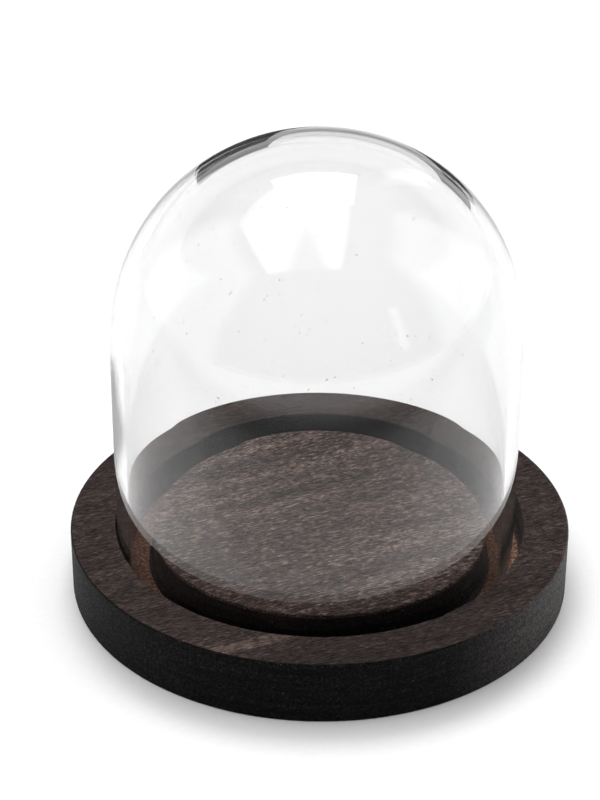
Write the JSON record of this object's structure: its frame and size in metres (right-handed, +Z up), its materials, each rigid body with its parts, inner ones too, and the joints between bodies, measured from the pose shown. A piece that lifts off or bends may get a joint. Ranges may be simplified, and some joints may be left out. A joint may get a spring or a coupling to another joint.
{
  "type": "bell jar dome",
  "caption": "Clear blown-glass dome with a rounded top, standing in a ring groove cut into a round dark-stained wooden base, for displaying a small object.",
  "frame": {"origin": "middle of the wooden base's underside", "axes": "+Z up, along the turning axis of the base; +X to the right and +Y away from the viewer"},
  "size_m": [0.1, 0.1, 0.0945],
  "materials": {
    "stained_wood": "dark open-grain stain, matt",
    "clear_glass": "clear, polished"
  },
  "bodies": {
    "base": {"wooden_base": "stained_wood"},
    "dome": {"glass_dome": "clear_glass"}
  },
  "joints": [
    {"name": "dome_lift", "type": "slide", "parent": "base", "child": "dome", "axis": [0, 0, 1], "range_m": [0, 0.1]}
  ]
}
